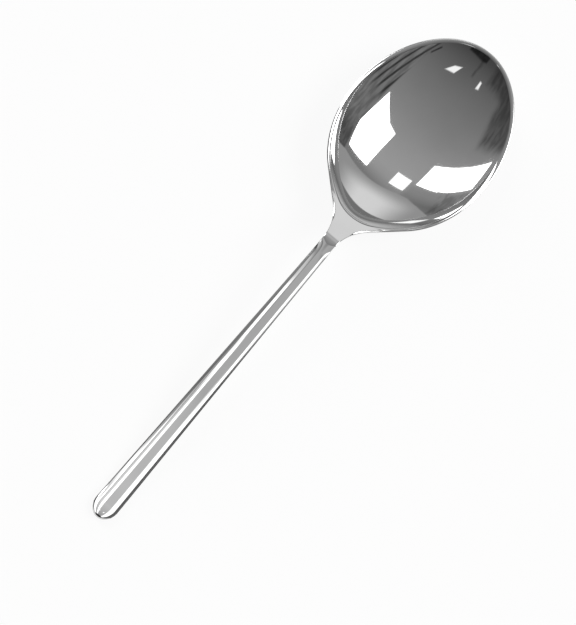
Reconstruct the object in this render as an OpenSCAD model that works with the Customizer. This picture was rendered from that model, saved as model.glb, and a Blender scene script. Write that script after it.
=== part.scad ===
// Tablespoon: a pressed bowl with a flared neck that climbs to a domed bar handle, where its tang is seated.
// Millimetres. X runs along the spoon to the tip of the bowl, Z is up, and the spoon lies on Z = 0.

/* [Spoon] */
// Length from the end of the handle to the tip of the bowl
spoon_length = 200; // [180:1:230]

/* [Bowl] */
// Length of the rim's egg outline, from the tip to where it would close at the neck
bowl_length = 71.5; // [62:0.5:80]
// Width over the rim
bowl_width = 55; // [46:0.5:62]
// Depth of the hollow below the rim
bowl_depth = 11; // [8:0.5:14]
// Thickness at the deepest point
bowl_wall = 1.5; // [1:0.1:2.5]
// Width of the land on the rim
rim_land = 0.9; // [0.8:0.1:1.6]
// Thickness of the rim at its outer edge
rim_thickness = 1.4; // [1:0.1:2]
// Width of the rounding on the outer edges of the rim
edge_round = 0.35; // [0.15:0.05:0.4]
// Slope at which an upper edge meets the side, in degrees
edge_angle = 42; // [30:1:55]
// Width on each side of the hollow's edge over which it is rounded
brim_round = 0.2; // [0.1:0.05:0.25]
// Share by which the outline narrows at the tip and widens at the neck
tip_taper = 0.05; // [0:0.01:0.12]
// How far the deepest point leans from the middle to the neck
depth_lean = 0.2; // [0.05:0.01:0.35]
// Steepness of the wall under the rim, from a shallow dish to an upright wall
wall_steepness = 0.7; // [0.3:0.01:0.8]
// Width of the flat under the bowl that it rests on
rest_flat = 6; // [3:0.5:10]

/* [Neck] */
// Angle round the rim, from the tip, at which the neck leaves the bowl
neck_angle = 144; // [138:1:150]
// Radius of the curve from the handle's side into the neck
neck_radius = 17; // [10:0.5:22]
// How far the hollow reaches past the end of the egg outline at the neck
neck_reach = 1.2; // [0.8:0.1:1.3]
// Share by which the hollow narrows where it reaches the neck
neck_pinch = 0.2; // [0.18:0.01:0.3]
// Length of the web from the hollow to the joint
neck_length = 6.4; // [5:0.2:9]
// Slope at which the web climbs to the handle, in degrees
neck_slope = 27; // [10:1:30]
// Length over which the climb sets in
climb_length = 1.2; // [0.6:0.1:3]
// Thickness of the web at the joint
neck_thickness = 2.6; // [2.2:0.1:3.2]
// Length over which the web thins out under the bowl
neck_fade = 9; // [6:0.5:14]
// Width of the rounding on the web's upper edges at the joint
neck_edge = 0.8; // [0.4:0.1:1.2]
// Size of the rounding between the web's underside and the belly
neck_blend = 1.2; // [0.6:0.1:2]

/* [Handle] */
// Width where the handle meets the neck's curve
handle_neck_width = 5.1; // [4.6:0.1:7]
// Width at the tail
handle_tail_width = 8.7; // [7:0.1:12]
// Thickness just behind the neck
handle_neck_thickness = 3.5; // [3.3:0.1:4.5]
// Thickness at the tail
handle_tail_thickness = 4; // [3.5:0.1:6]
// Slope of the dome's flanks at its shoulders, in degrees
dome_angle = 42; // [25:1:46]
// Length of the rounded end
tail_length = 5.5; // [3:0.1:9]
// Width of the rounding on the handle's upper edges
handle_edge = 0.15; // [0.1:0.05:0.3]
// Length over which the neck bends over into the handle
crest_length = 7; // [5:0.5:12]
// Length from the joint over which the handle's top stays flat
crest_flat = 5; // [3:0.5:8]
// Length over which the dome then rises
dome_length = 6; // [4:0.5:12]
// Length of the bend from the falling handle to the level tail
tail_bend = 18; // [10:1:30]

/* [Joint] */
// Width of the tang
tang_width = 2.8; // [2:0.1:3.2]
// Thickness of the tang
tang_thickness = 1; // [0.8:0.1:1.2]
// Length of the tang inside the handle
tang_length = 6; // [4:0.5:7]
// Chamfer on the tang's end corners
tang_chamfer = 0.6; // [0.2:0.1:0.9]
// Gap for the braze round the tang
tang_clearance = 0.1; // [0.05:0.01:0.2]

/* [Hidden] */

// Facets round the rim, along the neck's side and across half the joint face
rim_steps = 32;
neck_steps = 10;
face_steps = 2;
// Facets across the hollow, its rounded edge, the land, an outer edge and the underside
hollow_steps = 12;
brim_steps = 3;
land_steps = 6;
edge_steps = 3;
under_steps = 18;
// Facets along the crest, the bar and the rounded tail, and round half the dome and a quarter of the underside
crest_steps = 16;
bar_steps = 24;
tail_steps = 8;
dome_steps = 5;
quarter_steps = 6;

// Share of the handle's thickness below the middle of its rounded end
tail_level = 0.45;
// Share of the handle's half width and of its side that the rounding under it takes up
under_share = 0.85;
// Softness with which the handle's taper starts at the neck
taper_ease = 0.08;
// Length of the tang's root inside the web, and the share of the neck's slope at which the tang lies
tang_root = 1.5;
tang_share = 0.7;

tail_tip_x = -spoon_length / 2;
tail_x = tail_tip_x + tail_length;
rim_a = bowl_length / 2;
rim_b = bowl_width / 2;
bowl_x = spoon_length / 2 - rim_a;
rim_neck_x = bowl_x - rim_a;
hollow_neck_x = rim_neck_x - neck_reach;
dish_x = (spoon_length / 2 - rim_land + hollow_neck_x) / 2;
hollow_a = dish_x - hollow_neck_x;
hollow_b = rim_b - rim_land;
belly_a = hollow_a + rim_land;
rim_z = bowl_wall + bowl_depth;
edge_z = rim_z - rim_thickness;
neck_half = handle_neck_width / 2;
tail_half = handle_tail_width / 2;

// Deepest point of the dish, in half lengths of its outline from the middle
deepest_u = (1 - sqrt(1 + 3 * pow(depth_lean, 2))) / (3 * depth_lean);
level_peak = (1 - pow(deepest_u, 2)) * (1 - depth_lean * deepest_u);
brink = sqrt(1 - wall_steepness);
hollow_x = dish_x + hollow_a * deepest_u;
belly_x = dish_x + belly_a * deepest_u;
rest_dish = dish([belly_x, rest_flat / 2], belly_a, rim_b);

// Flank of the neck: the tangent that leaves the rim, and its curve into the handle's side
flank = rim_egg(neck_angle);
flank_angle = atan2(rim_b * (tip_taper * cos(2 * neck_angle) - cos(neck_angle)), rim_a * sin(neck_angle));
fillet_reach = neck_radius * tan(flank_angle / 2);
fillet_corner = flank[0] - (flank[1] - neck_half) / tan(flank_angle);
fillet_start = fillet_corner - fillet_reach;
fillet_end = fillet_corner + fillet_reach * cos(flank_angle);
joint_x = hollow_neck_x - neck_length;
joint_half = outline_y(joint_x);

// Rise of the neck and fall of the handle for each millimetre of length
neck_rise = tan(neck_slope);
joint_top = top_z([joint_x, 0]);
joint_floor = joint_top - neck_thickness;
handle_run = joint_x - tail_x;
handle_fall = (joint_floor + neck_rise * crest_length / 2) / (handle_run - (crest_length + tail_bend) / 2);

function mix(a, b, share) = a + (b - a) * share;

function clamped(share) = min(1, max(0, share));

function eased(share) = let (s = clamped(share)) s * s * (3 - 2 * s);

// Distance gained while the slope grows from 0 to 1 over a length of 1
function ease_in(s) = pow(s, 3) - pow(s, 4) / 2;

// Distance gained along d when a slope of 1 sets in over a length
function onset(d, length) = d <= 0 ? 0 : d < length ? length * ease_in(d / length) : d - length / 2;

// Arc from a to b, whose end tangents meet at c
function arc(a, c, b, weight, s) =
    let (wa = pow(1 - s, 2), wc = 2 * weight * s * (1 - s), wb = pow(s, 2))
    (wa * a + wc * c + wb * b) / (wa + wc + wb);

// Quarter of an ellipse
function corner(a, c, b, s) = arc(a, c, b, sqrt(0.5), s);

// The lower of two heights, with a rounded change from one to the other
function lower(a, b, blend) = min(a, b) - pow(max(0, blend - abs(a - b)), 2) / (4 * blend);

function unit(v) = v / norm(v);

// Width of the rim's egg outline at a place along it, from -1 at the neck to 1 at the tip, as a share
function rim_share(u) = 1 - tip_taper * u;

// The same for the hollow, which narrows where it reaches the neck
function hollow_share(u) = rim_share(u) - neck_pinch * pow(max(0, -u), 3);

// Points on the rim and on an outline of the hollow, at an angle counted from the tip
function rim_egg(t) = [bowl_x + rim_a * cos(t), rim_b * sin(t) * rim_share(cos(t))];

function hollow_egg(t, grow) =
    [dish_x + (hollow_a + grow) * cos(t), (hollow_b + grow) * sin(t) * hollow_share(cos(t))];

// Share of the full depth in a dish, from 0 on its outline to 1 at its deepest point
function dish(p, a, b) =
    let (
        u = (p[0] - dish_x) / a,
        v = p[1] / (b * hollow_share(u)),
        level = max(0, (1 - u * u - v * v) * (1 - depth_lean * u) / level_peak)
    )
    (sqrt(1 - wall_steepness * (1 - level)) - brink) / (1 - brink);

function belly_z(p) = max(0, edge_z * (1 - dish(p, belly_a, rim_b) / rest_dish));

// Distance past the rim's egg outline, which turns into the distance along the spoon at the joint
function past_rim(p) =
    let (
        u = (p[0] - bowl_x) / rim_a,
        v = p[1] / (rim_b * rim_share(u)),
        along = rim_neck_x - p[0]
    )
    mix((norm([u, v]) - 1) * rim_a, along, eased(along / (rim_neck_x - joint_x)));

// Height gained by the web above the rim
function climb(p) = neck_rise * onset(past_rim(p), climb_length);

function top_z(p) = rim_z + climb(p);

function hollow_z(p) = top_z(p) - bowl_depth * dish(p, hollow_a, hollow_b);

function web_z(x) =
    rim_z - mix(neck_thickness, rim_thickness - neck_blend, eased((x - hollow_neck_x) / neck_fade));

function under_z(p) = climb(p) + lower(belly_z(p), web_z(p[0]), neck_blend);

// Height of the handle's underside, which bends over behind the neck and falls to the tail
function floor_z(x) =
    let (d = joint_x - x)
    joint_floor + neck_rise * d - (neck_rise + handle_fall) * onset(d, crest_length)
    + handle_fall * onset(d - handle_run + tail_bend, tail_bend);

// Share of the way from the neck's curve to the tail
function bar_share(x) = max(0, (fillet_start - x) / (fillet_start - tail_x));

function soft_start(s) =
    (sqrt(pow(s, 2) + pow(taper_ease, 2)) - taper_ease) / (sqrt(1 + pow(taper_ease, 2)) - taper_ease);

// Half width of the handle and the neck
function outline_y(x) =
    x <= fillet_start ? mix(neck_half, tail_half, soft_start(bar_share(x)))
    : x <= fillet_end ? neck_half + neck_radius - sqrt(pow(neck_radius, 2) - pow(x - fillet_start, 2))
    : flank[1] - (flank[0] - x) * tan(flank_angle);

// Outline of half the bowl and neck, from the tip to the corner of the joint face
side_points = concat(
    [for (i = [0:rim_steps]) rim_egg(neck_angle * i / rim_steps)],
    [for (i = [1:neck_steps]) let (x = mix(flank[0], joint_x, i / neck_steps)) [x, outline_y(x)]]
);
side_count = rim_steps + neck_steps;
half_count = side_count + face_steps;
edge_count = 2 * edge_steps + 1;

function hollow_angle(i) =
    i <= rim_steps ? neck_angle * i / rim_steps
    : mix(neck_angle, 180, (i - rim_steps) / (half_count - rim_steps));

// Direction into the piece, square to its outline
function inward(i) =
    i == 0 ? [-1, 0]
    : i == side_count ? [0, -1]
    : let (along = unit(side_points[i + 1] - side_points[i - 1])) [-along[1], along[0]];

function raised(p, z) = [p[0], p[1], z];

// Width of the upper edge's rounding, which grows from the rim to the joint
function edge_width(x) = mix(edge_round, neck_edge, eased((flank[0] - x) / (flank[0] - joint_x)));

// Rounded edges from the land to the underside, with an upright side between them
function side_edge(i) =
    let (
        p = side_points[i],
        width = edge_width(p[0]),
        inner = p + width * inward(i),
        bend = p + width * cos(edge_angle) / (1 + cos(edge_angle)) * inward(i),
        foot = p + edge_round * inward(i),
        land_end = raised(inner, top_z(inner)),
        side_top = raised(p, top_z(p) - width * tan(edge_angle / 2)),
        bottom = under_z(p)
    )
    concat(
        [for (k = [0:edge_steps])
            arc(land_end, raised(bend, top_z(bend)), side_top, cos(edge_angle / 2), k / edge_steps)],
        [for (k = [0:edge_steps])
            corner(raised(p, bottom + edge_round), raised(p, bottom), raised(foot, under_z(foot)), k / edge_steps)]
    );

// Upright line on the joint face
function face_edge(i) =
    let (y = (joint_half - neck_edge) * (half_count - i) / face_steps)
    [for (k = [0:edge_count]) [joint_x, y, mix(joint_top, joint_floor, k / edge_count)]];

// Points from the hollow's middle, over the rim or neck and back under the belly
function bowl_rib(i) =
    let (
        angle = hollow_angle(i),
        brim = hollow_egg(angle, 0),
        inside = hollow_egg(angle, -brim_round),
        outside = hollow_egg(angle, brim_round),
        brim_low = raised(inside, hollow_z(inside)),
        brim_high = raised(outside, top_z(outside)),
        edge = i <= side_count ? side_edge(i) : face_edge(i),
        first = [edge[0][0], edge[0][1]],
        last = edge[edge_count],
        foot = [last[0], last[1]],
        middle = [belly_x, 0],
        rest = middle + rest_flat / 2 * unit(foot - middle)
    )
    concat(
        [for (k = [1:hollow_steps])
            let (q = sin(90 * k / hollow_steps), p = mix([hollow_x, 0], inside, q)) raised(p, hollow_z(p))],
        [for (k = [1:brim_steps]) corner(brim_low, raised(brim, top_z(brim)), brim_high, k / brim_steps)],
        [for (k = [1:land_steps - 1]) let (p = mix(outside, first, k / land_steps)) raised(p, top_z(p))],
        edge,
        [for (k = [1:under_steps]) let (p = mix(foot, rest, k / under_steps)) raised(p, under_z(p))]
    );

half_ribs = [for (i = [0:half_count]) bowl_rib(i)];
bowl_ribs = concat(half_ribs, [for (i = [half_count - 1:-1:1]) [for (p = half_ribs[i]) [p[0], -p[1], p[2]]]]);
bowl_rings = [for (k = [0:len(bowl_ribs[0]) - 1]) [for (rib = bowl_ribs) rib[k]]];

// Section of the handle: a shallow dome between rounded shoulders on the bar, and a flat top at the joint
function bar_section(x, shrink) =
    let (
        rise = eased((joint_x - x) / crest_length),
        doming = eased((joint_x - x - crest_flat) / dome_length),
        half = outline_y(x) * shrink,
        bar_thickness = mix(handle_neck_thickness, handle_tail_thickness, bar_share(x)),
        thickness = mix(neck_thickness, bar_thickness, rise),
        middle = floor_z(x) + tail_level * thickness,
        top = middle + (1 - tail_level) * thickness * shrink,
        bottom = middle - tail_level * thickness * shrink,
        angle = dome_angle * doming,
        edge = mix(neck_edge, handle_edge, doming) * shrink,
        under_edge = edge_round * shrink,
        shoulder_y = half - edge,
        shoulder = [x, shoulder_y, top - shoulder_y * tan(angle / 2)],
        dome_corner = [x, shoulder_y / (1 + cos(angle)), top],
        edge_corner = shoulder + edge / (cos(angle) + cos(edge_angle)) * [0, cos(angle), -sin(angle)],
        edge_weight = cos((edge_angle - angle) / 2),
        side_top = [x, half, shoulder[2] - edge * tan((angle + edge_angle) / 2)],
        side_low = [x, half, mix(bottom + under_edge, mix(bottom, side_top[2], under_share), rise)],
        flat_under = half - mix(under_edge, half * under_share, rise),
        left = concat(
            [for (k = [0:dome_steps]) arc([x, 0, top], dome_corner, shoulder, cos(angle / 2), k / dome_steps)],
            [for (k = [1:edge_steps]) arc(shoulder, edge_corner, side_top, edge_weight, k / edge_steps)],
            [for (k = [0:quarter_steps])
                corner(side_low, [x, half, bottom], [x, flat_under, bottom], k / quarter_steps)]
        )
    )
    concat([for (p = left) [x, -p[1], p[2]]], [for (k = [len(left) - 1:-1:1]) left[k]]);

crest_x = joint_x - max(crest_length, crest_flat + dome_length);
bar_rings = concat(
    [for (i = [0:crest_steps]) bar_section(mix(joint_x, crest_x, i / crest_steps), 1)],
    [for (i = [1:bar_steps]) bar_section(mix(crest_x, tail_x, i / bar_steps), 1)],
    [for (i = [1:tail_steps - 1])
        let (turn = 90 * i / tail_steps) bar_section(tail_x - tail_length * sin(turn), cos(turn))]
);
tang_z = joint_top - neck_thickness / 2;
tail_tip_z = tail_level * handle_tail_thickness;

// Closed skin over rings of points, drawn to one point at each end
module skin(first, rings, last) {
    size = len(rings[0]);
    count = len(rings);
    last_index = count * size + 1;
    points = concat([first], [for (ring = rings) each ring], [last]);
    function at(k, i) = 1 + k * size + i % size;
    faces = concat(
        [for (i = [0:size - 1]) [0, at(0, i + 1), at(0, i)]],
        [for (k = [0:count - 2], i = [0:size - 1], half = [0, 1])
            half == 0 ? [at(k, i), at(k, i + 1), at(k + 1, i)] : [at(k, i + 1), at(k + 1, i + 1), at(k + 1, i)]],
        [for (i = [0:size - 1]) [last_index, at(count - 1, i), at(count - 1, i + 1)]]
    );
    polyhedron(points, faces);
}

// Flat tongue with chamfered end corners, grown by a gap for its slot
module tang(gap) {
    half = tang_width / 2 + gap;
    end_x = -tang_length - gap;
    translate([joint_x, 0, tang_z])
        rotate([0, tang_share * neck_slope, 0])
            translate([0, 0, -tang_thickness / 2 - gap])
                linear_extrude(tang_thickness + 2 * gap)
                    polygon([
                        [tang_root, half],
                        [end_x + tang_chamfer, half],
                        [end_x, half - tang_chamfer],
                        [end_x, tang_chamfer - half],
                        [end_x + tang_chamfer, -half],
                        [tang_root, -half]
                    ]);
}

module bowl() {
    color("silver")
        union() {
            skin([hollow_x, 0, bowl_wall], bowl_rings, [belly_x, 0, 0]);
            tang(0);
        }
}

module handle() {
    color("silver")
        difference() {
            skin([joint_x, 0, tang_z], bar_rings, [tail_tip_x, 0, tail_tip_z]);
            tang(tang_clearance);
        }
}

bowl();
handle();
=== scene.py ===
import math

import bpy
import numpy as np
from mathutils import Matrix, Vector


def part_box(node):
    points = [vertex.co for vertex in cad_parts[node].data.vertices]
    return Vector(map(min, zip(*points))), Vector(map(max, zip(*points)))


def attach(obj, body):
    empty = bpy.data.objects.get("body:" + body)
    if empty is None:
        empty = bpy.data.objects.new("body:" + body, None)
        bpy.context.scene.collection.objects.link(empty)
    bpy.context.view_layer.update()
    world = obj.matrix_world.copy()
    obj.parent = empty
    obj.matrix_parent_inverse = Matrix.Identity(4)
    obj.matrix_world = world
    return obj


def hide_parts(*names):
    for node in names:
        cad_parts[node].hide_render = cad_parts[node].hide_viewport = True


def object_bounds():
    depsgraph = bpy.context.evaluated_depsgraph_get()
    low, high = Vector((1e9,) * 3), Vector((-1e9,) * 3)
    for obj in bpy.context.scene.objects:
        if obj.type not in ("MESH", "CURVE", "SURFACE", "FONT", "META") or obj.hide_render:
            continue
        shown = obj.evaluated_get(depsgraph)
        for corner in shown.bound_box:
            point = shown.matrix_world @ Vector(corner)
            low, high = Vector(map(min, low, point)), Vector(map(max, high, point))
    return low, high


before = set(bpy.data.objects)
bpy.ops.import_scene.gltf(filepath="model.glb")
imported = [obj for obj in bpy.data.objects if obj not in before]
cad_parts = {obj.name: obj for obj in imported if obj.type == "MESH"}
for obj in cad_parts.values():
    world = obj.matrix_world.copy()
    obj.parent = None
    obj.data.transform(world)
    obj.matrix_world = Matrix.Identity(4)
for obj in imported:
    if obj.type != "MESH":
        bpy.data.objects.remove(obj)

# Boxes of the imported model, in metres
CAD_LOW, CAD_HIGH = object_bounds()
HANDLE_LOW, HANDLE_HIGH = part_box("handle")

# Sizes that the frame gives
SPOON_LENGTH = CAD_HIGH.x - CAD_LOW.x
JOINT_X = HANDLE_HIGH.x
HANDLE_TAIL_WIDTH = HANDLE_HIGH.y - HANDLE_LOW.y

# Bowl
BOWL_LENGTH = 0.0715
BOWL_WIDTH = 0.055
BOWL_DEPTH = 0.011
BOWL_WALL = 0.0015
RIM_LAND = 0.0009
RIM_THICKNESS = 0.0014
EDGE_ROUND = 0.00035
EDGE_ANGLE = math.radians(42)
BRIM_ROUND = 0.0005
TIP_TAPER = 0.05
DEPTH_LEAN = 0.2
WALL_STEEPNESS = 0.7
REST_FLAT = 0.006

# Neck
NECK_ANGLE = math.radians(144)
NECK_RADIUS = 0.017
NECK_REACH = 0.0012
NECK_PINCH = 0.2
NECK_SLOPE = math.radians(27)
CLIMB_LENGTH = 0.0012
NECK_THICKNESS = 0.0026
NECK_FADE = 0.009
NECK_BLEND = 0.0012

# Rounding of the neck's upper edges: its greatest width, the share of the neck's length where it has that
# width, and its width at the joint
NECK_EDGE = 0.0008
NECK_EDGE_PLACE = 0.88
JOINT_EDGE = 0.0002

# Handle
HANDLE_NECK_WIDTH = 0.0051
HANDLE_NECK_THICKNESS = 0.0035
HANDLE_TAIL_THICKNESS = 0.004
DOME_ANGLE = math.radians(42)
TAIL_LENGTH = 0.0055
HANDLE_EDGE = 0.00015
CREST_LENGTH = 0.007
CREST_FLAT = 0.005
DOME_LENGTH = 0.006
TAIL_BEND = 0.018
TAIL_LEVEL = 0.45
UNDER_SHARE = 0.85
TAPER_EASE = 0.08

# Facets
RIM_STEPS = 140
NECK_STEPS = 48
FACE_STEPS = 6
HOLLOW_STEPS = 72
BRIM_STEPS = 10
LAND_STEPS = 48
EDGE_STEPS = 10
UNDER_STEPS = 64
CREST_STEPS = 88
BAR_STEPS = 160
TAIL_STEPS = 36
DOME_STEPS = 28
QUARTER_STEPS = 20

# Angle between facets above which an edge stays sharp
SHARP_ANGLE = math.radians(30)

# Worked out from the sizes above
RIM_Z = BOWL_WALL + BOWL_DEPTH
TAIL_TIP_X = -SPOON_LENGTH / 2
TAIL_X = TAIL_TIP_X + TAIL_LENGTH
RIM_A = BOWL_LENGTH / 2
RIM_B = BOWL_WIDTH / 2
BOWL_X = SPOON_LENGTH / 2 - RIM_A
RIM_NECK_X = BOWL_X - RIM_A
HOLLOW_NECK_X = RIM_NECK_X - NECK_REACH
DISH_X = (SPOON_LENGTH / 2 - RIM_LAND + HOLLOW_NECK_X) / 2
HOLLOW_A = DISH_X - HOLLOW_NECK_X
HOLLOW_B = RIM_B - RIM_LAND
BELLY_A = HOLLOW_A + RIM_LAND
EDGE_Z = RIM_Z - RIM_THICKNESS
NECK_HALF = HANDLE_NECK_WIDTH / 2
TAIL_HALF = HANDLE_TAIL_WIDTH / 2
NECK_RISE = math.tan(NECK_SLOPE)
DEEPEST_U = (1 - math.sqrt(1 + 3 * DEPTH_LEAN**2)) / (3 * DEPTH_LEAN)
LEVEL_PEAK = (1 - DEEPEST_U**2) * (1 - DEPTH_LEAN * DEEPEST_U)
BRINK = math.sqrt(1 - WALL_STEEPNESS)
HOLLOW_X = DISH_X + HOLLOW_A * DEEPEST_U
BELLY_X = DISH_X + BELLY_A * DEEPEST_U


def mix(a, b, share):
    return a + (b - a) * share


def eased(share):
    s = np.clip(share, 0, 1)
    return s * s * (3 - 2 * s)


def ease_in(s):
    """Distance gained while the slope grows from 0 to 1 over a length of 1."""
    return s**3 - s**4 / 2


def onset(d, length):
    """Distance gained along d when a slope of 1 sets in over a length."""
    return length * ease_in(np.clip(d / length, 0, 1)) + np.maximum(0, d - length)


def arc(a, c, b, weight, s):
    """Arc from a to b, whose end tangents meet at c."""
    wa, wc, wb = (1 - s) ** 2, 2 * weight * s * (1 - s), s**2
    return (wa * a + wc * c + wb * b) / (wa + wc + wb)


def corner(a, c, b, s):
    """Quarter of an ellipse."""
    return arc(a, c, b, math.sqrt(0.5), s)


def lower(a, b, blend):
    """The lower of two heights, with a rounded change from one to the other."""
    return np.minimum(a, b) - np.maximum(0, blend - np.abs(a - b)) ** 2 / (4 * blend)


def rim_share(u):
    """Width of the rim's egg outline at a place from -1 at the neck to 1 at the tip, as a share."""
    return 1 - TIP_TAPER * u


def hollow_share(u):
    """The same for the hollow, which narrows where it reaches the neck."""
    return rim_share(u) - NECK_PINCH * np.maximum(0, -u) ** 3


def rim_egg(t):
    """Points on the rim, at angles counted from the tip."""
    return np.stack([BOWL_X + RIM_A * np.cos(t), RIM_B * np.sin(t) * rim_share(np.cos(t))], -1)


def hollow_egg(t, grow):
    """Points on the hollow's outline, grown by a distance."""
    across = (HOLLOW_B + grow) * np.sin(t) * hollow_share(np.cos(t))
    return np.stack([DISH_X + (HOLLOW_A + grow) * np.cos(t), across], -1)


def dish(p, a, b):
    """Share of the full depth in a dish, from 0 on its outline to 1 at its deepest point."""
    u = (p[..., 0] - DISH_X) / a
    v = p[..., 1] / (b * hollow_share(u))
    level = np.maximum(0, (1 - u * u - v * v) * (1 - DEPTH_LEAN * u) / LEVEL_PEAK)
    return (np.sqrt(1 - WALL_STEEPNESS * (1 - level)) - BRINK) / (1 - BRINK)


REST_DISH = dish(np.array([BELLY_X, REST_FLAT / 2]), BELLY_A, RIM_B)


def past_rim(p):
    """Distance past the rim's egg outline, which turns into the distance along the spoon at the joint."""
    u = (p[..., 0] - BOWL_X) / RIM_A
    v = p[..., 1] / (RIM_B * rim_share(u))
    along = RIM_NECK_X - p[..., 0]
    return mix((np.hypot(u, v) - 1) * RIM_A, along, eased(along / (RIM_NECK_X - JOINT_X)))


def climb(p):
    """Height gained by the neck web above the rim."""
    return NECK_RISE * onset(past_rim(p), CLIMB_LENGTH)


def top_z(p):
    return RIM_Z + climb(p)


def hollow_z(p):
    return top_z(p) - BOWL_DEPTH * dish(p, HOLLOW_A, HOLLOW_B)


def under_z(p):
    """Height of the underside: the belly, and the neck web that runs into it."""
    belly = np.maximum(0, EDGE_Z * (1 - dish(p, BELLY_A, RIM_B) / REST_DISH))
    fade = eased((p[..., 0] - HOLLOW_NECK_X) / NECK_FADE)
    web = RIM_Z - mix(NECK_THICKNESS, RIM_THICKNESS - NECK_BLEND, fade)
    return climb(p) + lower(belly, web, NECK_BLEND)


# Flank of the neck: the tangent that leaves the rim, and its curve into the handle's side
FLANK = rim_egg(np.array(NECK_ANGLE))
FLANK_ANGLE = math.atan2(
    RIM_B * (TIP_TAPER * math.cos(2 * NECK_ANGLE) - math.cos(NECK_ANGLE)), RIM_A * math.sin(NECK_ANGLE)
)
FILLET_REACH = NECK_RADIUS * math.tan(FLANK_ANGLE / 2)
FILLET_CORNER = FLANK[0] - (FLANK[1] - NECK_HALF) / math.tan(FLANK_ANGLE)
FILLET_START = FILLET_CORNER - FILLET_REACH
FILLET_END = FILLET_CORNER + FILLET_REACH * math.cos(FLANK_ANGLE)

# Heights at the joint, and the fall of the handle for each metre of length
JOINT_TOP = top_z(np.array([JOINT_X, 0]))
JOINT_FLOOR = JOINT_TOP - NECK_THICKNESS
HANDLE_RUN = JOINT_X - TAIL_X
HANDLE_FALL = (JOINT_FLOOR + NECK_RISE * CREST_LENGTH / 2) / (HANDLE_RUN - (CREST_LENGTH + TAIL_BEND) / 2)


def floor_z(x):
    """Height of the handle's underside, which bends over behind the neck and falls to the tail."""
    d = JOINT_X - x
    bend = (NECK_RISE + HANDLE_FALL) * onset(d, CREST_LENGTH)
    level = HANDLE_FALL * onset(d - HANDLE_RUN + TAIL_BEND, TAIL_BEND)
    return JOINT_FLOOR + NECK_RISE * d - bend + level


def bar_share(x):
    """Share of the way from the neck's curve to the tail."""
    return max(0, (FILLET_START - x) / (FILLET_START - TAIL_X))


def soft_start(s):
    return (math.hypot(s, TAPER_EASE) - TAPER_EASE) / (math.hypot(1, TAPER_EASE) - TAPER_EASE)


def outline_y(x):
    """Half width of the handle and the neck."""
    if x <= FILLET_START:
        return mix(NECK_HALF, TAIL_HALF, soft_start(bar_share(x)))
    if x <= FILLET_END:
        return NECK_HALF + NECK_RADIUS - math.sqrt(NECK_RADIUS**2 - (x - FILLET_START) ** 2)
    return FLANK[1] - (FLANK[0] - x) * math.tan(FLANK_ANGLE)


def raised(p, z):
    """Plan points lifted to a height."""
    return np.concatenate([p, np.broadcast_to(z, p.shape[:-1])[..., None]], -1)


def steps(count, first=0):
    """Shares from 0 to 1, from the first step on."""
    return np.arange(first, count + 1) / count


def skin(name, first, rings, last):
    """Closed mesh over rings of points, drawn to one point at each end, smooth but for its sharp edges."""
    count, size = rings.shape[:2]
    points = np.concatenate([[first], rings.reshape(-1, 3), [last]])
    index = 1 + np.arange(count * size).reshape(count, size)
    after = np.roll(index, -1, axis=1)
    quads = np.stack([index[:-1], index[1:], after[1:], after[:-1]], -1).reshape(-1, 4)
    start = [(0, int(a), int(b)) for a, b in zip(index[0], after[0])]
    end = [(count * size + 1, int(b), int(a)) for a, b in zip(index[-1], after[-1])]
    mesh = bpy.data.meshes.new(name)
    mesh.from_pydata(points.tolist(), [], start + quads.tolist() + end)
    mesh.update()
    mesh.shade_smooth()
    mesh.set_sharp_from_angle(angle=SHARP_ANGLE)
    piece = bpy.data.objects.new(name, mesh)
    bpy.context.scene.collection.objects.link(piece)
    return piece


def bowl_outline():
    """Half outline of bowl and neck from the tip to the joint face's corner, with its inward directions."""
    rim = rim_egg(NECK_ANGLE * steps(RIM_STEPS))
    neck_x = mix(FLANK[0], JOINT_X, steps(NECK_STEPS, 1))
    neck = np.array([(x, outline_y(x)) for x in neck_x])
    outline = np.concatenate([rim, neck])
    along = np.gradient(outline, axis=0)
    inward = np.stack([-along[:, 1], along[:, 0]], -1)
    inward[0] = (-1, 0)
    inward[-1] = (0, -1)
    return outline, inward / np.linalg.norm(inward, axis=1, keepdims=True)


def bowl_edges():
    """Rounded edges and upright side at each outline point, and upright lines across half the joint face."""
    outline, inward = bowl_outline()
    share = (FLANK[0] - outline[:, 0]) / (FLANK[0] - JOINT_X)
    width = mix(EDGE_ROUND, NECK_EDGE, eased(share / NECK_EDGE_PLACE))
    width = mix(width, JOINT_EDGE, eased((share - NECK_EDGE_PLACE) / (1 - NECK_EDGE_PLACE)))[:, None]
    inner = outline + width * inward
    foot = outline + EDGE_ROUND * inward
    # Where the top climbs outward, the edge turns by more, so that it ends as steep as the rim's
    grade = (top_z(outline) - top_z(foot)) / EDGE_ROUND
    angle = np.arctan(math.tan(EDGE_ANGLE) + grade)[:, None]
    bend = outline + width * np.cos(angle) / (1 + np.cos(angle)) * inward
    bottom = under_z(outline)
    land_end = raised(inner, top_z(inner))
    edge_corner = raised(bend, top_z(bend))
    side_top = raised(outline, top_z(outline) - (width * np.tan(angle / 2))[:, 0])
    side_low = raised(outline, bottom + EDGE_ROUND)
    under_start = raised(foot, under_z(foot))
    uppers = [arc(land_end, edge_corner, side_top, np.cos(angle / 2), s) for s in steps(EDGE_STEPS)]
    unders = [corner(side_low, raised(outline, bottom), under_start, s) for s in steps(EDGE_STEPS)]
    sides = np.stack(uppers + unders)
    face_y = inner[-1, 1] * (1 - steps(FACE_STEPS, 1))
    face = np.stack([np.full(FACE_STEPS, JOINT_X), face_y], -1)
    faces = np.stack([raised(face, mix(JOINT_TOP, JOINT_FLOOR, s)) for s in steps(2 * EDGE_STEPS + 1)])
    return np.concatenate([sides, faces], axis=1)


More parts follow.
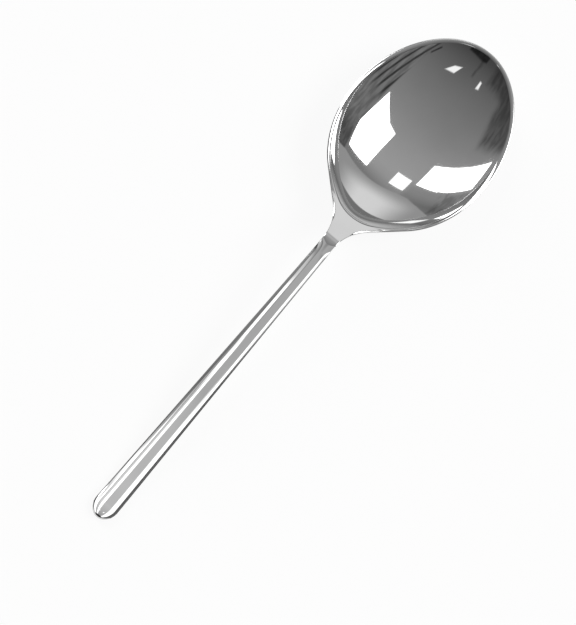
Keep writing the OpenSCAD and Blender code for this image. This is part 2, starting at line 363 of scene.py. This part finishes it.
def bowl_piece():
    edges = bowl_edges()
    neck_turn = mix(NECK_ANGLE, math.pi, steps(NECK_STEPS + FACE_STEPS, 1))
    turn = np.concatenate([NECK_ANGLE * steps(RIM_STEPS), neck_turn])
    brim = hollow_egg(turn, 0)
    inside = hollow_egg(turn, -BRIM_ROUND)
    outside = hollow_egg(turn, BRIM_ROUND)
    middle = np.array([HOLLOW_X, 0])
    plans = [mix(middle, inside, math.sin(math.pi / 2 * s)) for s in steps(HOLLOW_STEPS, 1)]
    hollow = np.stack([raised(p, hollow_z(p)) for p in plans])
    brim_edge = raised(brim, top_z(brim))
    brim_high = raised(outside, top_z(outside))
    rounding = np.stack([corner(hollow[-1], brim_edge, brim_high, s) for s in steps(BRIM_STEPS, 1)])
    plans = [mix(outside, edges[0, :, :2], s) for s in steps(LAND_STEPS, 1)[:-1]]
    land = np.stack([raised(p, top_z(p)) for p in plans])
    foot = edges[-1, :, :2]
    belly = np.array([BELLY_X, 0])
    away = foot - belly
    rest = belly + REST_FLAT / 2 * away / np.linalg.norm(away, axis=1, keepdims=True)
    plans = [mix(foot, rest, s) for s in steps(UNDER_STEPS, 1)]
    under = np.stack([raised(p, under_z(p)) for p in plans])
    half = np.concatenate([hollow, rounding, land, edges, under])
    mirrored = half[:, -2:0:-1] * (1, -1, 1)
    rings = np.concatenate([half, mirrored], axis=1)
    return skin("spoon_bowl", (HOLLOW_X, 0, BOWL_WALL), rings, (BELLY_X, 0, 0))


def bar_section(x, shrink):
    """Ring round the handle: a shallow dome between rounded shoulders, and a flat top at the joint."""
    rise = eased((JOINT_X - x) / CREST_LENGTH)
    doming = eased((JOINT_X - x - CREST_FLAT) / DOME_LENGTH)
    half = outline_y(x) * shrink
    bar_thickness = mix(HANDLE_NECK_THICKNESS, HANDLE_TAIL_THICKNESS, bar_share(x))
    thickness = mix(NECK_THICKNESS, bar_thickness, rise)
    middle = floor_z(x) + TAIL_LEVEL * thickness
    top = middle + (1 - TAIL_LEVEL) * thickness * shrink
    bottom = middle - TAIL_LEVEL * thickness * shrink
    angle = DOME_ANGLE * doming
    edge = mix(JOINT_EDGE, HANDLE_EDGE, doming) * shrink
    under_edge = EDGE_ROUND * shrink
    shoulder_y = half - edge
    shoulder_z = top - shoulder_y * math.tan(angle / 2)
    side_z = shoulder_z - edge * math.tan((angle + EDGE_ANGLE) / 2)
    low_z = mix(bottom + under_edge, mix(bottom, side_z, UNDER_SHARE), rise)
    flat_under = half - mix(under_edge, half * UNDER_SHARE, rise)
    bend = edge / (math.cos(angle) + math.cos(EDGE_ANGLE))
    edge_weight = math.cos((EDGE_ANGLE - angle) / 2)
    crown = np.array((x, 0, top))
    dome_corner = np.array((x, shoulder_y / (1 + math.cos(angle)), top))
    shoulder = np.array((x, shoulder_y, shoulder_z))
    edge_corner = shoulder + bend * np.array((0, math.cos(angle), -math.sin(angle)))
    side_top = np.array((x, half, side_z))
    side_low = np.array((x, half, low_z))
    under_corner = np.array((x, half, bottom))
    base = np.array((x, flat_under, bottom))
    left = [arc(crown, dome_corner, shoulder, math.cos(angle / 2), s) for s in steps(DOME_STEPS)]
    left += [arc(shoulder, edge_corner, side_top, edge_weight, s) for s in steps(EDGE_STEPS, 1)]
    left += [corner(side_low, under_corner, base, s) for s in steps(QUARTER_STEPS)]
    left = np.array(left)
    return np.concatenate([left * (1, -1, 1), left[:0:-1]])


def handle_piece():
    crest_x = JOINT_X - max(CREST_LENGTH, CREST_FLAT + DOME_LENGTH)
    rings = [bar_section(mix(JOINT_X, crest_x, s), 1) for s in steps(CREST_STEPS)]
    rings += [bar_section(mix(crest_x, TAIL_X, s), 1) for s in steps(BAR_STEPS, 1)]
    turns = math.pi / 2 * steps(TAIL_STEPS, 1)[:-1]
    rings += [bar_section(TAIL_X - TAIL_LENGTH * math.sin(a), math.cos(a)) for a in turns]
    joint_middle = (JOINT_X, 0, JOINT_TOP - NECK_THICKNESS / 2)
    tail_tip = (TAIL_TIP_X, 0, TAIL_LEVEL * HANDLE_TAIL_THICKNESS)
    return skin("spoon_handle", joint_middle, np.stack(rings), tail_tip)


def node(tree, kind, *inputs, **settings):
    """Adds a node, sets its properties and sets or links its inputs in order."""
    made = tree.nodes.new(kind)
    for name, value in settings.items():
        setattr(made, name, value)
    for socket, value in zip(made.inputs, inputs):
        if isinstance(value, bpy.types.NodeSocket):
            tree.links.new(value, socket)
        elif value is not None:
            socket.default_value = value
    return made


def calculate(tree, operation, *inputs):
    return node(tree, "ShaderNodeMath", *inputs, operation=operation).outputs[0]


def vector(tree, operation, *inputs):
    return node(tree, "ShaderNodeVectorMath", *inputs, operation=operation).outputs[0]


def spread(tree, value, from_low, from_high, to_low, to_high):
    """Value carried smoothly from one range to another, and held at its ends."""
    limits = (from_low, from_high, to_low, to_high)
    return node(tree, "ShaderNodeMapRange", value, *limits, interpolation_type="SMOOTHSTEP").outputs[0]


def noise(tree, place, repeats, detail):
    """Noise with the given numbers of repeats for each unit along X, Y and Z."""
    scaled = vector(tree, "MULTIPLY", place, repeats)
    return node(tree, "ShaderNodeTexNoise", scaled, None, 1, detail).outputs["Fac"]


def ramp(tree, value, stops):
    """Grey that runs through stops of a place from 0 to 1 and a level."""
    made = node(tree, "ShaderNodeValToRGB", value)
    points = made.color_ramp.elements
    points[0].position, points[1].position = stops[0][0], stops[-1][0]
    for place, _ in stops[1:-1]:
        points.new(place)
    for point, (_, level) in zip(points, stops):
        point.color = (level, level, level, 1)
    return made.outputs["Color"]


# Steel: its reflectance at two levels of the clouds, and its roughness over the range of its wear
STEEL_LEVELS = ((0.3, 0.68), (0.7, 0.72))
STEEL_ROUGHNESS = (0.025, 0.06)
WEAR_RANGE = (0.1, 0.45)

# Clouds and polishing lines of the steel: repeats for each metre, detail, and the lines' height in metres
CLOUD_REPEATS = (70, 70, 70)
CLOUD_DETAIL = 3
LINE_REPEATS = (60, 2500, 2500)
LINE_DETAIL = 2
LINE_HEIGHT = 0.0000004


def polished_steel():
    """Mirror-polished steel with faint polishing lines along the spoon and a cloudy gloss."""
    material = bpy.data.materials.new("polished_steel")
    material.use_nodes = True
    tree = material.node_tree
    shader = tree.nodes["Principled BSDF"]
    shader.inputs["Metallic"].default_value = 1
    place = tree.nodes.new("ShaderNodeTexCoord").outputs["Object"]
    clouds = noise(tree, place, CLOUD_REPEATS, CLOUD_DETAIL)
    lines = noise(tree, place, LINE_REPEATS, LINE_DETAIL)
    wear = calculate(tree, "MULTIPLY", clouds, lines)
    bump = node(tree, "ShaderNodeBump", 1, LINE_HEIGHT)
    tree.links.new(lines, bump.inputs["Height"])
    tree.links.new(ramp(tree, clouds, STEEL_LEVELS), shader.inputs["Base Color"])
    tree.links.new(spread(tree, wear, *WEAR_RANGE, *STEEL_ROUGHNESS), shader.inputs["Roughness"])
    tree.links.new(bump.outputs["Normal"], shader.inputs["Normal"])
    return material


STEEL = polished_steel()
BOWL = bowl_piece()
HANDLE = handle_piece()
for piece, cad_node in ((BOWL, "bowl"), (HANDLE, "handle")):
    piece.data.materials.append(STEEL)
    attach(piece, "root")
    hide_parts(cad_node)

# Camera fitted to the photograph: its lean from upright, and its turn in the picture
CAMERA_LEAN = (-0.16, -0.025)
CAMERA_TURN = math.radians(49.59)
CAMERA_DISTANCE = 0.7
CAMERA_TARGET = Vector((-0.00852, -0.00422, 0))
IMAGE_HEIGHT = 625
FOCAL_PIXELS = 2125.2
SENSOR = 36.0


def add_camera():
    data = bpy.data.cameras.new("camera")
    data.sensor_width = SENSOR
    data.lens = FOCAL_PIXELS / IMAGE_HEIGHT * SENSOR
    camera = bpy.data.objects.new("camera", data)
    bpy.context.scene.collection.objects.link(camera)
    lean_x, lean_y = CAMERA_LEAN
    back = Vector((lean_x, lean_y, math.sqrt(1 - lean_x**2 - lean_y**2)))
    along = (Vector((1, 0, 0)) - lean_x * back).normalized()
    side = back.cross(along)
    right = math.cos(CAMERA_TURN) * along - math.sin(CAMERA_TURN) * side
    up = math.sin(CAMERA_TURN) * along + math.cos(CAMERA_TURN) * side
    turn = Matrix((right, up, back)).transposed().to_4x4()
    camera.matrix_world = Matrix.Translation(CAMERA_TARGET + back * CAMERA_DISTANCE) @ turn
    bpy.context.scene.camera = camera


add_camera()
bpy.context.scene.view_settings.view_transform = "Standard"

WHITE = (1, 1, 1, 1)

# Studio round the spoon. Directions are in degrees from straight up, towards +X and +Y. A range of two angles
# is the start and end of a smooth change.

# Grey of the room: angles towards +X, and levels
ROOM_STOPS = (
    (-60, 0.05), (-45, 0.08), (-35, 0.13), (-25, 0.18), (-10, 0.25), (0, 0.3), (10, 0.36),
    (20, 0.41), (30, 0.435), (36, 0.4), (41, 0.33), (46, 0.25), (60, 0.2), (90, 0.22),
)

# Pale backdrop at +X, its levels away from the glow and in it, and the glow's place, reach, fade and slant
BACKDROP = (
    (57.5, -60), (52.5, -50), (48, -20), (42, 20), (42.5, 32), (47.5, 46), (52.5, 56),
    (73, 90), (78, 90), (78, -90), (73, -90),
)
BACKDROP_LEVELS = (0.38, 0.89)
GLOW_X = 62
GLOW_Y = 2
GLOW_REACH_X = 18
GLOW_REACH_Y = 50
GLOW_FADE = (0.2, 1.05)
GLOW_SLANT = 0.12

# Dark side of the room at -Y: the range over which it sets in, its level, and the range over which that fades
# from one share to another
SIDE_EDGE = (-51, -54)
SIDE_LEVEL = 0.205
SIDE_FADE = (26, 44, 1, 0.55)

# Slanting streaks on the dark side: the part of the wave that darkens, the share of the light that they take
# away, and the range over which they end
STREAK_SLANT = 0.3
STREAK_PLACE = 64
STREAK_SPACING = 9.3
STREAK_WAVE = (0.1, 0.95)
STREAK_DEPTH = 0.75
STREAK_END = (2, 16)

# Dark panels: the share of the room's light that each takes away, and the width over which its edges fade
DARK_PANELS = (
    (((-60, 47), (-60, 95), (-4, 95), (-5, 52), (-20, 46)), 0.55, 5),
    (((-60, 20), (-60, 48), (-30, 48), (-34, 21)), 0.4, 4),
    (((-70, -23), (-70, 7), (-44, 6), (-43, 0), (-45, -21)), 0.75, 1.2),
    (((-46, 0), (-46, 4.5), (-31, 3.2), (-31, 1)), 0.3, 1.2),
    (((-34.5, -47.8), (-33.5, -45.8), (-26.5, -50), (-27.5, -51.6)), 0.8, 0.8),
    (((28, 56), (24, 95), (70, 95), (54, 60)), 0.2, 5),
)

# Panel that dims the room and adds no blotches
DIM_PANEL = ((30, 24), (26, 90), (60, 90), (48, 46), (42, 24))
DIM_SHARE = 0.22
DIM_EDGE = 4

# Blotches on the dark parts: their repeats for each degree, their detail, and the range of the noise and of
# the light that they leave
BLOTCH_REPEATS = (0.1, 0.22, 0)
BLOTCH_DETAIL = 3
BLOTCH_LEVELS = (0.35, 0.65, 0.78, 1.2)

# Lamps and their radiances
LAMP_PANELS = (
    (((14.3, 28.5), (9.9, 48.8), (29, 48.8), (29.2, 27.6)), 6),
    (((11, 44), (2.5, 80.5), (22, 80.5), (27.4, 57.2), (29.3, 42)), 6),
    (((13.8, -17.2), (41, -20.6), (46, -49), (27, -54.2), (9, -50.2)), 6),
    (((11.5, -29), (20, -29), (14, -51.2), (2.9, -49)), 6),
    (((28.4, 7.2), (28.4, 22.2), (38, 22.2), (38.4, 6.9)), 2),
    (((-32, 12.6), (-31.6, 14.9), (-27.3, 16), (-26.9, 12.6)), 1.3),
    (((-31.7, -11.7), (-26.1, -14.2), (-25, -24.2), (-29.8, -19.1)), 1.3),
)

# Width over which the edges of the lamps and the backdrop fade, in degrees
LAMP_EDGE = 0.7


def blend(tree, share, a, b):
    """Value between a at a share of 0 and b at a share of 1."""
    return calculate(tree, "ADD", a, calculate(tree, "MULTIPLY", share, calculate(tree, "SUBTRACT", b, a)))


def panel(tree, place, corners, edge):
    """1 inside a panel whose corners run clockwise in X and Y, and 0 outside. The place has a Z of 1."""
    inside = None
    for (ax, ay), (bx, by) in zip(corners, corners[1:] + corners[:1]):
        length = math.hypot(bx - ax, by - ay)
        across = ((by - ay) / length, (ax - bx) / length)
        line = (*across, -across[0] * ax - across[1] * ay)
        distance = node(tree, "ShaderNodeVectorMath", place, line, operation="DOT_PRODUCT").outputs["Value"]
        inside = distance if inside is None else calculate(tree, "MINIMUM", inside, distance)
    return spread(tree, inside, -edge, edge, 0, 1)


def grey_room(tree, along):
    """Grey that brightens along the spoon, towards the backdrop."""
    first, last = ROOM_STOPS[0][0], ROOM_STOPS[-1][0]
    stops = [((angle - first) / (last - first), level) for angle, level in ROOM_STOPS]
    share = calculate(tree, "DIVIDE", calculate(tree, "SUBTRACT", along, first), last - first)
    return ramp(tree, share, stops)


def streaked_side(tree, along, across):
    """Dark side of the room, with long streaks that end near the middle."""
    slant = calculate(tree, "MULTIPLY_ADD", along, STREAK_SLANT, across)
    turn = calculate(tree, "MULTIPLY", calculate(tree, "ADD", slant, STREAK_PLACE), math.tau / STREAK_SPACING)
    wave = spread(tree, calculate(tree, "COSINE", turn), *STREAK_WAVE, 0, STREAK_DEPTH)
    streaks = calculate(tree, "MULTIPLY", wave, spread(tree, along, *STREAK_END, 1, 0))
    fade = calculate(tree, "MULTIPLY", spread(tree, along, *SIDE_FADE), SIDE_LEVEL)
    return calculate(tree, "MULTIPLY", fade, calculate(tree, "SUBTRACT", 1, streaks))


def backdrop_glow(tree, along, across):
    """Level of the backdrop, brightest where it stands over the middle of the spoon."""
    slant = calculate(tree, "MULTIPLY_ADD", across, GLOW_SLANT, along)
    before = calculate(tree, "MAXIMUM", calculate(tree, "SUBTRACT", GLOW_X, slant), 0)
    aside = calculate(tree, "SUBTRACT", across, GLOW_Y)
    far_x = calculate(tree, "POWER", calculate(tree, "DIVIDE", before, GLOW_REACH_X), 2)
    far_y = calculate(tree, "POWER", calculate(tree, "DIVIDE", aside, GLOW_REACH_Y), 2)
    far = calculate(tree, "SQRT", calculate(tree, "ADD", far_x, far_y))
    return spread(tree, far, *GLOW_FADE, *reversed(BACKDROP_LEVELS))


def studio_light(tree, place):
    along, across = node(tree, "ShaderNodeSeparateXYZ", place).outputs[:2]
    light = grey_room(tree, along)
    dark = spread(tree, across, *SIDE_EDGE, 0, 1)
    light = blend(tree, dark, light, streaked_side(tree, along, across))
    for corners, share, edge in DARK_PANELS:
        shade = panel(tree, place, corners, edge)
        dark = calculate(tree, "MAXIMUM", dark, shade)
        light = calculate(tree, "MULTIPLY", light, blend(tree, shade, 1, 1 - share))
    blotches = spread(tree, noise(tree, place, BLOTCH_REPEATS, BLOTCH_DETAIL), *BLOTCH_LEVELS)
    light = calculate(tree, "MULTIPLY", light, blend(tree, dark, 1, blotches))
    dimmed = blend(tree, panel(tree, place, DIM_PANEL, DIM_EDGE), 1, 1 - DIM_SHARE)
    light = calculate(tree, "MULTIPLY", light, dimmed)
    light = blend(tree, panel(tree, place, BACKDROP, LAMP_EDGE), light, backdrop_glow(tree, along, across))
    for corners, radiance in LAMP_PANELS:
        lit = calculate(tree, "MULTIPLY", panel(tree, place, corners, LAMP_EDGE), radiance)
        light = calculate(tree, "MAXIMUM", light, lit)
    return light


def studio_world():
    world = bpy.data.worlds.new("studio")
    bpy.context.scene.world = world
    world.use_nodes = True
    tree = world.node_tree
    direction = tree.nodes.new("ShaderNodeTexCoord").outputs["Generated"]
    height = node(tree, "ShaderNodeSeparateXYZ", direction).outputs["Z"]
    tilt = calculate(tree, "DEGREES", calculate(tree, "ARCCOSINE", height))
    level = vector(tree, "NORMALIZE", vector(tree, "MULTIPLY", direction, (1, 1, 0)))
    place = vector(tree, "ADD", vector(tree, "SCALE", level, None, None, tilt), (0, 0, 1))
    tree.links.new(studio_light(tree, place), tree.nodes["Background"].inputs["Strength"])
    tree.nodes["Background"].inputs["Color"].default_value = WHITE


# Floor: half its side and its height in metres, the share of it that looks plain white, and its paper colour
FLOOR_HALF = 2.0
FLOOR_Z = -0.0001
FLOOR_WHITE = 0.9
FLOOR_PAPER = (0.9, 0.9, 0.9, 1)


def pale_floor():
    """Floor that looks white, directly and in the steel, and keeps a faint shadow."""
    mesh = bpy.data.meshes.new("floor")
    corners = [(x * FLOOR_HALF, y * FLOOR_HALF, FLOOR_Z) for x, y in ((-1, -1), (1, -1), (1, 1), (-1, 1))]
    mesh.from_pydata(corners, [], [(0, 1, 2, 3)])
    material = bpy.data.materials.new("pale_floor")
    material.use_nodes = True
    tree = material.node_tree
    rays = tree.nodes.new("ShaderNodeLightPath").outputs
    seen = calculate(tree, "MAXIMUM", rays["Is Camera Ray"], rays["Is Glossy Ray"])
    seen = calculate(tree, "MAXIMUM", seen, rays["Is Transmission Ray"])
    glow = calculate(tree, "MULTIPLY", seen, FLOOR_WHITE)
    paper = node(tree, "ShaderNodeBsdfDiffuse", FLOOR_PAPER).outputs[0]
    white = node(tree, "ShaderNodeEmission", WHITE, 1).outputs[0]
    surface = node(tree, "ShaderNodeMixShader", glow, paper, white).outputs[0]
    tree.links.new(surface, tree.nodes["Material Output"].inputs["Surface"])
    mesh.materials.append(material)
    floor = bpy.data.objects.new("floor", mesh)
    bpy.context.scene.collection.objects.link(floor)


# Long lamps over the handle: the height of the line that they stand round, their greatest radiance, the place
# behind the tail where most of the far ones end, and their distances from the line
LAMP_Z = 0.012
LAMP_PEAK = 1.6
LAMP_TAIL_X = -0.35
FAR = 0.15
NEAR = 0.04

# Places along X where the inner and middle far lamps on the left fade out, and where the near ones set in
LEFT_FADE_X = -0.0535
LEFT_END_X = -0.0435
NEAR_START_X = -0.0391
NEAR_FULL_X = -0.0291

# Each lamp's name, distance, edges in degrees from straight up towards +Y, and radiance at places along X
HANDLE_LAMPS = (
    ("overhead", FAR, -46, 20, (
        (LAMP_TAIL_X, 0.44), (-0.095, 0.42), (-0.075, 0.29), (-0.0045, 0.26), (-0.0026, 0.2),
        (-0.0009, 0.1), (0.0008, 0.07), (0.004, 0),
    )),
    ("left_inner", FAR, 20, 38, ((LAMP_TAIL_X, 1.6), (LEFT_FADE_X, 1.6), (LEFT_END_X, 0))),
    ("left_middle", FAR, 38, 52, (
        (LAMP_TAIL_X, 0.6), (-0.085, 0.6), (-0.07, 0.45), (LEFT_FADE_X, 1.4), (LEFT_END_X, 0),
    )),
    ("left_outer", FAR, 55, 66, (
        (LAMP_TAIL_X, 1.6), (-0.085, 1.6), (-0.077, 0.85), (-0.066, 0.5), (-0.052, 0.25),
        (-0.035, 0.1), (-0.02, 0),
    )),
    ("left_edge", FAR, 66, 83, (
        (LAMP_TAIL_X, 1.6), (-0.096, 1.6), (-0.086, 0.6), (-0.078, 0.35), (-0.065, 0.12), (-0.055, 0),
    )),
    ("right_inner", FAR, -46, -37, ((LAMP_TAIL_X, 1), (-0.085, 1), (-0.075, 0.7), (-0.06, 0.15), (-0.05, 0))),
    ("right_outer", FAR, -67, -46, ((LAMP_TAIL_X, 1.6), (0.004, 1.6), (0.009, 1), (0.014, 0))),
    ("right_edge", FAR, -78, -66, ((-0.05, 0), (-0.02, 0.5), (0, 0.7), (0.012, 0.6), (0.016, 0))),
    ("crest", FAR, -15, 15, ((0.08, 0), (0.13, 0.22), (0.19, 0.2), (0.24, 0))),
    ("neck_fill", NEAR, 22, 27.5, (
        (NEAR_START_X, 0), (NEAR_FULL_X, 0.26), (-0.002, 0.26), (0.004, 0.1), (0.009, 0),
    )),
    ("neck_inner", NEAR, 27.5, 40, (
        (NEAR_START_X, 0), (NEAR_FULL_X, 1.6), (-0.009, 1.6), (-0.003, 0.7), (0.001, 0.5),
        (0.005, 0.3), (0.009, 0),
    )),
    ("neck_middle", NEAR, 40, 53.5, (
        (NEAR_START_X, 0), (NEAR_FULL_X, 1.4), (-0.008, 1.4), (-0.002, 0.55), (0.0055, 0.5),
        (0.0075, 0.25), (0.0095, 0),
    )),
)


def handle_lamp(name, distance, edge_from, edge_to, stops, receivers):
    """Area lamp along the handle, unseen by the camera, that lights only its receivers."""
    middle = math.radians((edge_from + edge_to) / 2)
    half = math.radians((edge_to - edge_from) / 2)
    x_from, x_to = stops[0][0], stops[-1][0]
    data = bpy.data.lights.new(name, "AREA")
    data.shape = "RECTANGLE"
    data.size = x_to - x_from
    data.size_y = 2 * distance * math.tan(half)
    data.energy = LAMP_PEAK * math.pi * data.size * data.size_y
    data.use_nodes = True
    tree = data.node_tree
    place = tree.nodes.new("ShaderNodeNewGeometry").outputs["Parametric"]
    share = node(tree, "ShaderNodeSeparateXYZ", place).outputs["X"]
    levels = [((x - x_from) / (x_to - x_from), radiance / LAMP_PEAK) for x, radiance in stops]
    tree.links.new(ramp(tree, share, levels), tree.nodes["Emission"].inputs["Strength"])
    lamp = bpy.data.objects.new(name, data)
    reach = Vector((0, math.sin(middle), math.cos(middle))) * distance
    lamp.location = reach + Vector(((x_from + x_to) / 2, 0, LAMP_Z))
    lamp.rotation_euler = (-middle, 0, 0)
    lamp.visible_camera = False
    lamp.light_linking.receiver_collection = receivers
    bpy.context.scene.collection.objects.link(lamp)


studio_world()
pale_floor()
HANDLE_ONLY = bpy.data.collections.new("handle_only")
HANDLE_ONLY.objects.link(HANDLE)
for lamp_values in HANDLE_LAMPS:
    handle_lamp(*lamp_values, HANDLE_ONLY)
